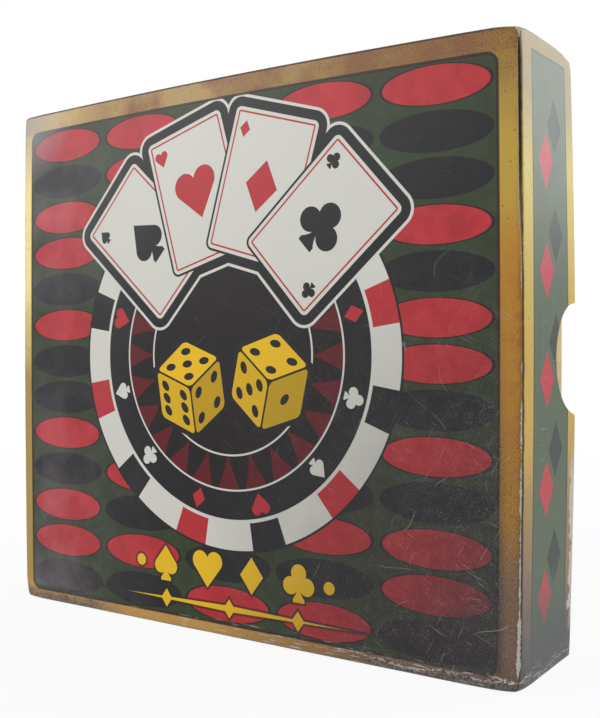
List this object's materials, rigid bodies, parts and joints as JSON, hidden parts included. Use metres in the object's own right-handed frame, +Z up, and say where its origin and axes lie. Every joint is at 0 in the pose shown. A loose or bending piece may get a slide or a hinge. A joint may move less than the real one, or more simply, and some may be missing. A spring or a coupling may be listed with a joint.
{
  "type": "casino game box",
  "caption": "Square shallow telescoping gift box with thumb notches, printed lid and gold base, holding metal chips, dice and a card in a foam insert.",
  "frame": {"origin": "middle of the bottom wall's outer face, under the middle of the closed box, which stands on it", "axes": "+X to the right of the printed front, +Y from the printed front towards the open back of the lid, +Z up"},
  "size_m": [0.19, 0.04, 0.175],
  "materials": {
    "printed_paper": "satin",
    "gold_paper": "satin",
    "white_paper": "matte",
    "black_paper": "matte",
    "greyboard": "matte",
    "kraft_tape": "matte",
    "black_foam": "matte",
    "gold_metal": "satin",
    "black_enamel": "gloss",
    "red_enamel": "gloss",
    "green_enamel": "gloss"
  },
  "bodies": {
    "base": {"base_board": "greyboard", "base_corner_stays": "kraft_tape", "base_wrap": "gold_paper", "base_liner": "black_paper", "foam_top_layer": "black_foam", "foam_middle_layer": "black_foam", "foam_bottom_layer": "black_foam"},
    "lid": {"lid_board": "greyboard", "lid_corner_stays": "kraft_tape", "lid_wrap": "printed_paper", "lid_liner": "white_paper"},
    "card": {"card_plate": "gold_metal", "card_inlay": "black_enamel"},
    "chip_1": {"chip_1_metal": "gold_metal", "chip_1_enamel": "black_enamel"},
    "chip_2": {"chip_2_metal": "gold_metal", "chip_2_enamel": "red_enamel"},
    "chip_3": {"chip_3_metal": "gold_metal", "chip_3_enamel": "black_enamel"},
    "chip_4": {"chip_4_metal": "gold_metal", "chip_4_enamel": "red_enamel"},
    "chip_5": {"chip_5_metal": "gold_metal", "chip_5_enamel": "green_enamel"},
    "chip_6": {"chip_6_metal": "gold_metal", "chip_6_enamel": "green_enamel"},
    "die_1": {"die_1_cube": "gold_metal", "die_1_pips": "black_enamel"},
    "die_2": {"die_2_cube": "gold_metal", "die_2_pips": "black_enamel"}
  },
  "joints": [
    {"name": "lid_slide", "type": "slide", "parent": "base", "child": "lid", "axis": [0, -1, 0], "range_m": [0, 0.15]},
    {"name": "card_lift", "type": "slide", "parent": "base", "child": "card", "axis": [0, -1, 0], "range_m": [0, 0.025]},
    {"name": "chip_1_lift", "type": "slide", "parent": "base", "child": "chip_1", "axis": [0, -1, 0], "range_m": [0, 0.025]},
    {"name": "chip_2_lift", "type": "slide", "parent": "base", "child": "chip_2", "axis": [0, -1, 0], "range_m": [0, 0.025]},
    {"name": "chip_3_lift", "type": "slide", "parent": "base", "child": "chip_3", "axis": [0, -1, 0], "range_m": [0, 0.025]},
    {"name": "chip_4_lift", "type": "slide", "parent": "base", "child": "chip_4", "axis": [0, -1, 0], "range_m": [0, 0.025]},
    {"name": "chip_5_lift", "type": "slide", "parent": "base", "child": "chip_5", "axis": [0, -1, 0], "range_m": [0, 0.025]},
    {"name": "chip_6_lift", "type": "slide", "parent": "base", "child": "chip_6", "axis": [0, -1, 0], "range_m": [0, 0.025]},
    {"name": "die_1_lift", "type": "slide", "parent": "base", "child": "die_1", "axis": [0, -1, 0], "range_m": [0, 0.025]},
    {"name": "die_2_lift", "type": "slide", "parent": "base", "child": "die_2", "axis": [0, -1, 0], "range_m": [0, 0.025]}
  ],
  "couplings": [
    {"joint": "card_lift", "follows": "lid_slide", "ratio": 0.16667},
    {"joint": "chip_1_lift", "follows": "lid_slide", "ratio": 0.16667},
    {"joint": "chip_2_lift", "follows": "lid_slide", "ratio": 0.16667},
    {"joint": "chip_3_lift", "follows": "lid_slide", "ratio": 0.16667},
    {"joint": "chip_4_lift", "follows": "lid_slide", "ratio": 0.16667},
    {"joint": "chip_5_lift", "follows": "lid_slide", "ratio": 0.16667},
    {"joint": "chip_6_lift", "follows": "lid_slide", "ratio": 0.16667},
    {"joint": "die_1_lift", "follows": "lid_slide", "ratio": 0.16667},
    {"joint": "die_2_lift", "follows": "lid_slide", "ratio": 0.16667}
  ]
}
